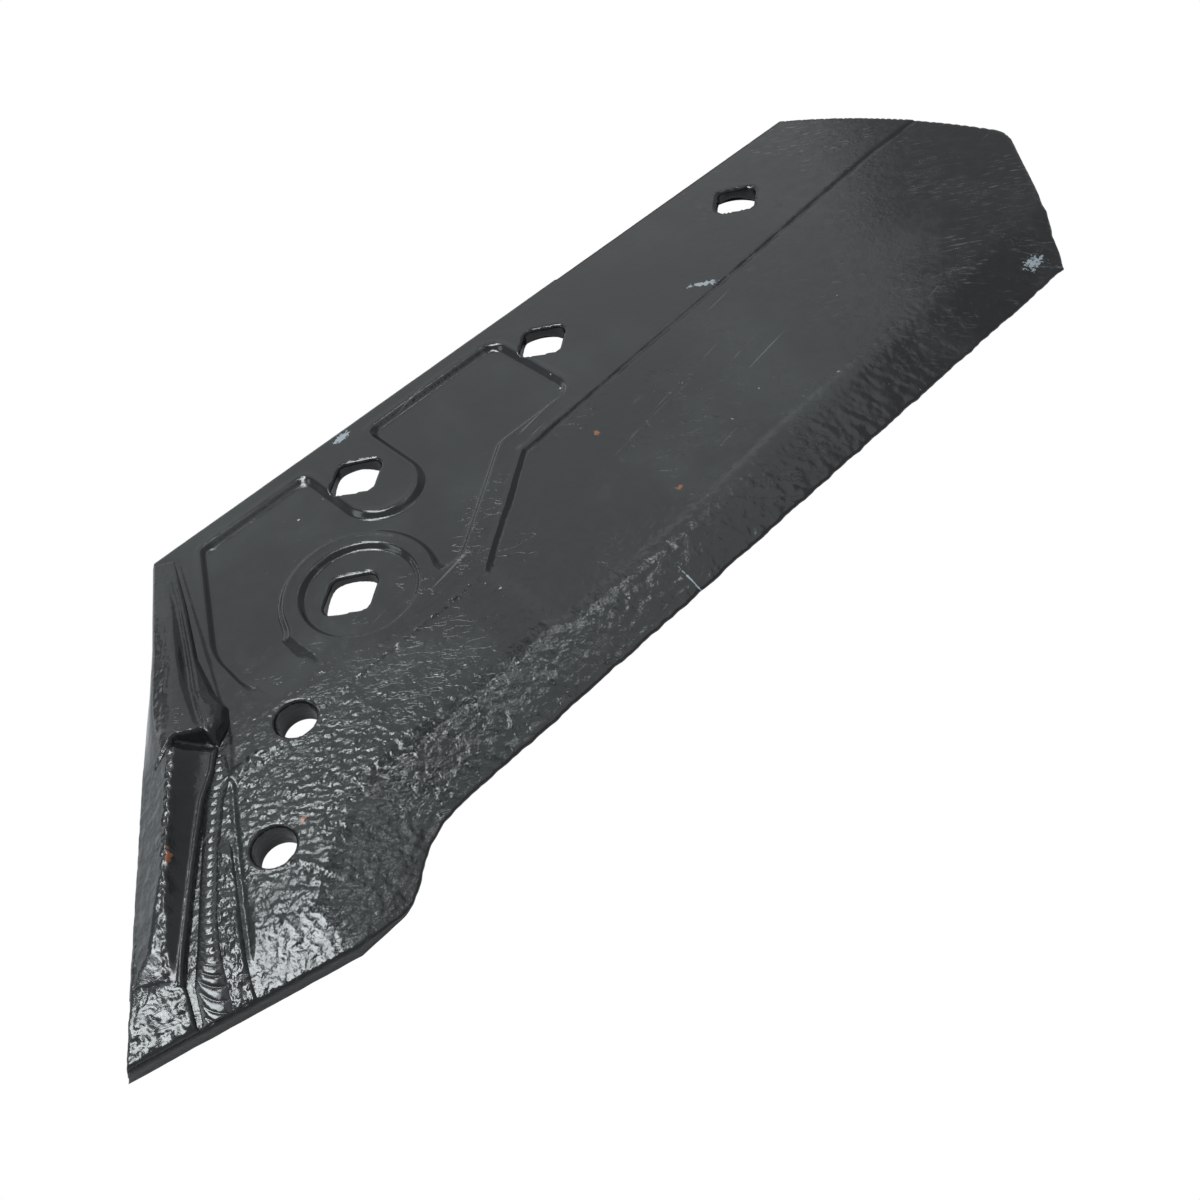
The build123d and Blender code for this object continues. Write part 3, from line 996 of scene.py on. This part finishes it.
black = (0.0060, 0.0068, 0.0074, 1)
dusty = (0.018, 0.0195, 0.0205, 1)
rust = (0.13, 0.045, 0.02, 1)
bare = (0.42, 0.42, 0.41, 1)
# Pale bluish colour of patches that are partly scuffs in the paint and partly painted highlights.
pale = (0.30, 0.34, 0.37, 1)
worn = (0.12, 0.125, 0.13, 1)
paint_roughness = 0.15
relief_height = 0.0003

# The largest marks: plan x and y, length, width and turn.
rust_marks = (
    (-26, -124, 3.2, 2.0, 30),
    (-59, -109, 6.0, 2.0, 56),
    (137, -77, 3.6, 2.6, 60),
    (135, -119, 3.0, 2.0, 0),
)
# Pale bluish patches: partly scuffs in the paint, partly painted highlights where rims catch the light.
scuff_and_highlight_marks = (
    (78, -4, 9.0, 4.0, 10),
    (221, -52, 14.0, 3.0, -38),
    (305, -141, 11.0, 6.0, 0),
    (111, -146, 16.0, 0.7, 88),
)


def paint_colour(n, dust, scratches, chips, scuffing):
    """Black, with dust, scratches, chips to bare steel, rust, worn streaks and the largest marks, some of
    them pale patches that are partly scuffs and partly painted highlights.
    """
    colour = n.mix(n.times(dust, 0.5), black, dusty)
    colour = n.mix(n.times(scratches, 0.35), colour, worn)
    colour = n.mix(n.times(chips, scuffing), colour, bare)
    specks = n.window(n.cloud(1.0, 3.0, n.mapped((4.8, 4.8, 4.8), 63)), 0.745, 0.77)
    specks = n.times(specks, n.window(n.cloud(17.0, 1.0), 0.56, 0.64))
    colour = n.mix(specks, colour, rust)
    # The streaks are on the tail only.
    streaks = n.window(n.cloud(1.0, 2.0, n.mapped((6.0, 1.1, 5.0), -38)), 0.57, 0.72)
    streaks = n.times(streaks, n.window(n.cloud(32.0, 2.0), 0.42, 0.6))
    colour = n.mix(n.times(n.times(streaks, n.between_x(205, 300)), 0.4), colour, worn)
    for place in rust_marks:
        colour = n.mix(n.mark(*place), colour, rust)
    # Pale patches, partly scuffs and partly painted highlights.
    for place in scuff_and_highlight_marks:
        colour = n.mix(n.times(n.mark(*place), 0.55), colour, pale)
    return colour


def paint_relief(n, scratches):
    """Orange peel, coarser towards the beak, with short wrinkles across the blade below the seat."""
    wrinkles = n.cloud(1.0, 3.0, n.mapped((16.0, 5.0, 10.0), -40))
    wrinkles = n.math("ABSOLUTE", n.math("SUBTRACT", wrinkles, 0.5))
    wrinkles = n.times(n.window(wrinkles, 0.014, 0.0), n.window(n.cloud(45.0, 2.0), 0.5, 0.6))
    wrinkles = n.times(wrinkles, n.between_y(-55, -68))
    coarse = n.times(n.between_x(200, 0), n.between_y(-60, -100))
    relief = n.times(n.cloud(850.0, 3.0), 0.35)
    relief = n.math("ADD", relief, n.times(n.cloud(400.0, 2.0), 0.8))
    relief = n.times(relief, n.math("ADD", n.times(coarse, 1.5), 0.5))
    relief = n.math("ADD", relief, n.times(wrinkles, 0.35))
    return n.math("SUBTRACT", relief, n.times(scratches, 0.15))


def paint(name, peel, scuffing):
    """Glossy black paint over rough steel, with peel as the strength of its orange peel."""
    n = Nodes(name)
    dust = n.window(n.cloud(22.0, 4.0), 0.45, 0.75)
    scratches = n.window(n.cloud(1.0, 2.0, n.mapped((70.0, 2.4, 17.0), 8)), 0.68, 0.74)
    scratches = n.times(scratches, n.window(n.cloud(38.0, 2.0), 0.5, 0.62))
    chips = n.window(n.cloud(330.0, 5.0), 0.70, 0.74)
    chips = n.times(chips, n.window(n.cloud(30.0, 2.0), 0.55, 0.7))
    n.link(paint_colour(n, dust, scratches, chips, scuffing), n.shader.inputs["Base Color"])

    roughness = n.window(n.cloud(190.0, 4.0), 0.3, 0.8, paint_roughness - 0.05, paint_roughness + 0.10)
    roughness = n.math("ADD", roughness, n.times(n.math("MAXIMUM", chips, dust), 0.07))
    n.link(roughness, n.shader.inputs["Roughness"])

    bumps = n.add("ShaderNodeBump")
    bumps.inputs["Strength"].default_value = peel
    bumps.inputs["Distance"].default_value = relief_height
    n.link(paint_relief(n, scratches), bumps.inputs["Height"])
    n.link(bumps.outputs["Normal"], n.shader.inputs["Normal"])
    return n.material


# ---------------------------------------------------------------- pieces

blade = make_blade()
bar = make_bar()
bead = make_bead()
point_run = make_point_weld()
facing = make_facing()

paint_blade = paint("black_paint_on_forging", peel=0.5, scuffing=0.7)
paint_bar = paint("black_paint_on_bar", peel=0.3, scuffing=0.8)
paint_bead = paint("black_paint_on_bead", peel=0.1, scuffing=0.3)
paint_rough = paint("black_paint_on_rough_weld", peel=0.4, scuffing=0.5)
paint_facing = paint("black_paint_on_facing", peel=0.4, scuffing=0.5)

for piece, node, slot, coat in (
    (blade, "share_blade", "painted_forging", paint_blade),
    (bar, "landside_bar", "painted_bar", paint_bar),
    (bead, "bar_weld", "painted_weld", paint_bead),
    (point_run, "point_weld", "painted_rough_weld", paint_rough),
    (facing, "tip_hardfacing", "painted_facing", paint_facing),
):
    piece.data.materials.append(coat)
    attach(piece, "root")
    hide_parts(node)

# ---------------------------------------------------------------- floor, light and camera

light_colour = (0.93, 0.985, 1.0)
# The camera's place in metres, the ways that its right side and its back face, and its lens in mm.
camera_place = (-0.2003, -0.2661, 0.3102)
camera_right = (0.7035, -0.6959, -0.1446)
camera_back = (-0.3783, -0.5388, 0.7527)
camera_lens = 38.74


def show_white_to_camera(tree, shading, output):
    """Keeps a backdrop plain white in the picture, while it lights the object as its own shading does."""
    white = tree.nodes.new("ShaderNodeEmission")
    white.inputs["Strength"].default_value = 1.0
    rays = tree.nodes.new("ShaderNodeLightPath")
    choose = tree.nodes.new("ShaderNodeMixShader")
    tree.links.new(rays.outputs["Is Camera Ray"], choose.inputs[0])
    tree.links.new(shading, choose.inputs[1])
    tree.links.new(white.outputs[0], choose.inputs[2])
    tree.links.new(choose.outputs[0], output.inputs["Surface"])


def make_floor():
    """Plain pale floor, a hair below the blade."""
    half = 6.0
    gap = 0.0002
    mesh = bpy.data.meshes.new("studio_floor")
    corners = [(-half, -half, 0), (half, -half, 0), (half, half, 0), (-half, half, 0)]
    mesh.from_pydata(corners, [], [(0, 1, 2, 3)])
    floor = bpy.data.objects.new("studio_floor", mesh)
    floor.location.z = -gap
    bpy.context.scene.collection.objects.link(floor)
    material = bpy.data.materials.new("pale_floor")
    material.use_nodes = True
    tree = material.node_tree
    shader = tree.nodes["Principled BSDF"]
    shader.inputs["Base Color"].default_value = (0.35, 0.35, 0.36, 1)
    shader.inputs["Roughness"].default_value = 0.9
    show_white_to_camera(tree, shader.outputs["BSDF"], tree.nodes["Material Output"])
    mesh.materials.append(material)


def make_light(name, place, target, width, height, power):
    """Rectangular soft light that faces its target; lengths in metres, power in watts."""
    data = bpy.data.lights.new(name, "AREA")
    data.shape = "RECTANGLE"
    data.size = width
    data.size_y = height
    data.energy = power
    data.color = light_colour
    light = bpy.data.objects.new(name, data)
    light.location = place
    light.rotation_euler = (Vector(target) - Vector(place)).to_track_quat("-Z", "Y").to_euler()
    bpy.context.scene.collection.objects.link(light)


make_floor()
make_light("back_softbox", (0.55, 1.30, 1.3), (0, 0, 0), 2.0, 1.3, 5.0)
make_light("overhead_softbox", (0.70, -0.25, 1.6), (0, 0, 0), 2.4, 0.9, 5.0)
make_light("beak_softbox", (-0.45, -0.12, 1.1), (-0.2, -0.06, 0), 0.45, 0.50, 11.0)
make_light("front_strip", (-0.38, 0.36, 1.2), (-0.1, 0, 0), 1.0, 0.18, 11.0)
make_light("heel_spot", (0.02, -0.05, 1.15), (-0.1, -0.05, 0), 0.12, 0.12, 1.1)
make_light("bevel_spot", (0.40, -0.05, 1.15), (0, -0.05, 0), 0.12, 0.12, 0.5)
make_light("back_wall", (-0.20, 2.20, 0.30), (0, 0, 0), 3.0, 0.5, 5.5)
make_light("left_softbox", (-1.3, 0.5, 0.7), (-0.1, 0, 0), 0.5, 0.8, 3.0)


def make_world():
    """Pale surroundings that fill the shadows."""
    world = bpy.data.worlds.new("studio")
    world.use_nodes = True
    background = world.node_tree.nodes["Background"]
    background.inputs["Color"].default_value = (0.96, 0.98, 1, 1)
    background.inputs["Strength"].default_value = 0.4
    show_white_to_camera(world.node_tree, background.outputs[0], world.node_tree.nodes["World Output"])
    bpy.context.scene.world = world
    bpy.context.scene.view_settings.view_transform = "Standard"


def make_camera():
    """Camera that looks down on the back of the share from beside its beak."""
    data = bpy.data.cameras.new("photo_view")
    data.lens = camera_lens
    data.sensor_width = 36.0
    data.clip_start = 0.01
    data.clip_end = 100.0
    camera = bpy.data.objects.new("photo_view", data)
    back = Vector(camera_back).normalized()
    up = back.cross(Vector(camera_right).normalized()).normalized()
    right = up.cross(back)
    turn = Matrix(((right.x, up.x, back.x), (right.y, up.y, back.y), (right.z, up.z, back.z)))
    camera.matrix_world = Matrix.Translation(camera_place) @ turn.to_4x4()
    bpy.context.scene.collection.objects.link(camera)
    bpy.context.scene.camera = camera


make_world()
make_camera()
